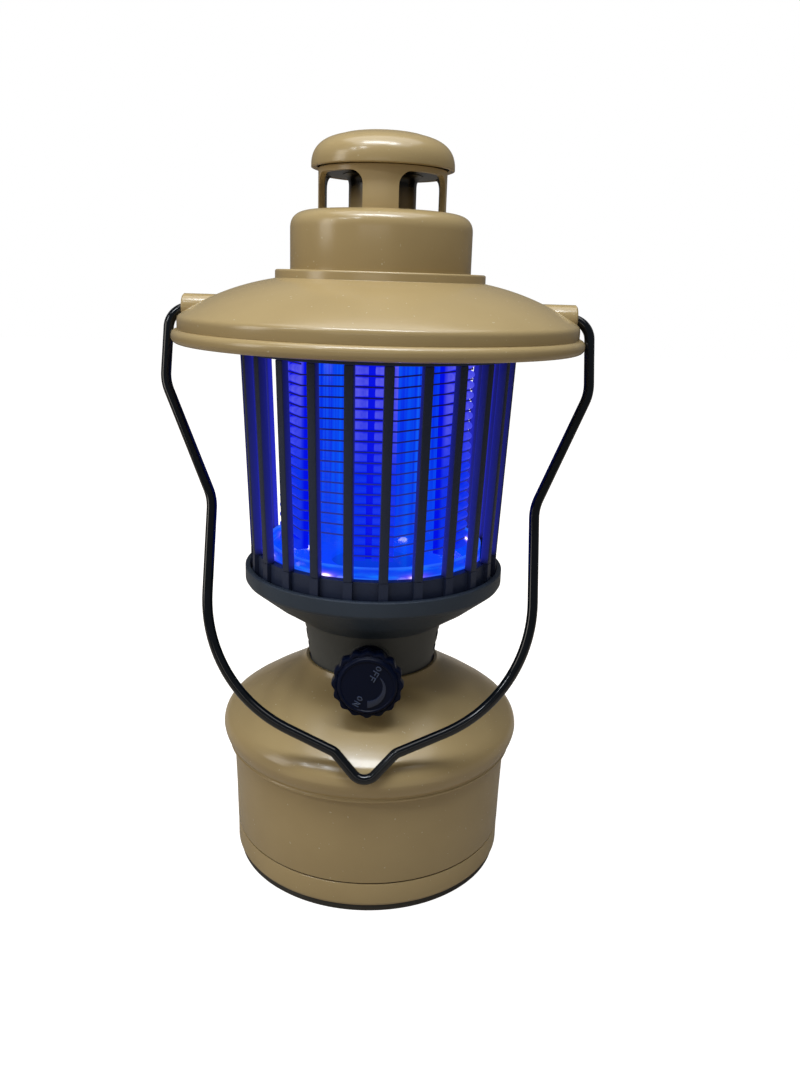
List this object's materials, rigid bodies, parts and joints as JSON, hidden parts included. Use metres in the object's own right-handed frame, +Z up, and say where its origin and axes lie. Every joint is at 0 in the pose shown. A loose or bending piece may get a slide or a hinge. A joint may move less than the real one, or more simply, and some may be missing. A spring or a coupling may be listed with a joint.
{
  "type": "electric bug zapper",
  "caption": "Lantern-shaped electric insect zapper: tank base, ribbed cage round a blue-lit shock grid, wide hat, vented crown, swinging wire bail.",
  "frame": {"origin": "centre of the foot ring, on the surface that the lantern stands on", "axes": "+Z up along the lantern's axis; -Y is the front with the switch knob; the bail pivots about X"},
  "size_m": [0.1696, 0.161, 0.298],
  "materials": {
    "tan_shell": "satin moulded khaki plastic",
    "dark_shell": "fine-textured charcoal plastic",
    "knob_black": "satin navy-black plastic",
    "tray_clear": "glossy clear plastic lit blue",
    "foot_rubber": "matt dark rubber",
    "bail_wire": "gloss black enamel",
    "screw_steel": "plain zinc-plated steel",
    "grid_wire": "bright drawn wire",
    "comb_plastic": "translucent pale plastic lit violet",
    "light_guide": "glossy clear plastic lit blue",
    "led_lens": "clear lens, lit violet",
    "circuit_board": "solder-masked laminate",
    "switch_body": "moulded thermoset",
    "battery_sleeve": "shrink sleeve",
    "coil_tape": "yellow coil tape",
    "capacitor_film": "dipped resin",
    "lead_sleeve": "wire insulation"
  },
  "bodies": {
    "root": {"foot_ring": "foot_rubber", "bottom_cap": "tan_shell", "base_seal": "foot_rubber", "base_tank": "tan_shell", "base_screws": "screw_steel", "base_lid": "tan_shell", "battery_holder": "knob_black", "battery_cells": "battery_sleeve", "battery_contacts": "screw_steel", "charge_board": "circuit_board", "charging_port": "screw_steel", "port_cover_pin": "screw_steel", "neck": "dark_shell", "neck_screws": "screw_steel", "switch_bezel": "knob_black", "rotary_switch": "switch_body", "switch_nut": "screw_steel", "control_board": "circuit_board", "hv_transformer": "coil_tape", "hv_capacitor": "capacitor_film", "harness": "lead_sleeve", "collar": "dark_shell", "collecting_tray": "tray_clear", "led_board": "circuit_board", "uv_leds": "led_lens", "diffuser_tube": "light_guide", "grid_posts": "comb_plastic", "grid_wire_live": "grid_wire", "grid_wire_return": "grid_wire", "grid_top_plate": "dark_shell", "cage_base_ring": "dark_shell", "cage_ribs": "dark_shell", "cage_top_ring": "dark_shell", "chamber_roof": "dark_shell", "roof_screws": "screw_steel", "shade_rim": "tan_shell", "hat_shade": "tan_shell", "upper_drum": "tan_shell", "crown_column": "tan_shell", "vent_crown": "tan_shell", "cap_screw": "screw_steel", "top_cap": "tan_shell"},
    "bail": {"bail": "bail_wire"},
    "knob": {"knob": "knob_black", "knob_shaft": "screw_steel"},
    "port_cover": {"port_cover": "foot_rubber"}
  },
  "joints": [
    {"name": "bail_swing", "type": "hinge", "parent": "root", "child": "bail", "pos_m": [0, 0, 0.232], "axis": [-1, 0, 0], "range_deg": [0, 317]},
    {"name": "knob_turn", "type": "hinge", "parent": "root", "child": "knob", "pos_m": [0, -0.0475, 0.095], "axis": [0, -1, 0], "range_deg": [0, 165]},
    {"name": "port_cover_flap", "type": "hinge", "parent": "root", "child": "port_cover", "pos_m": [0, 0.0584, 0.035], "axis": [1, 0, 0], "range_deg": [0, 120]}
  ]
}
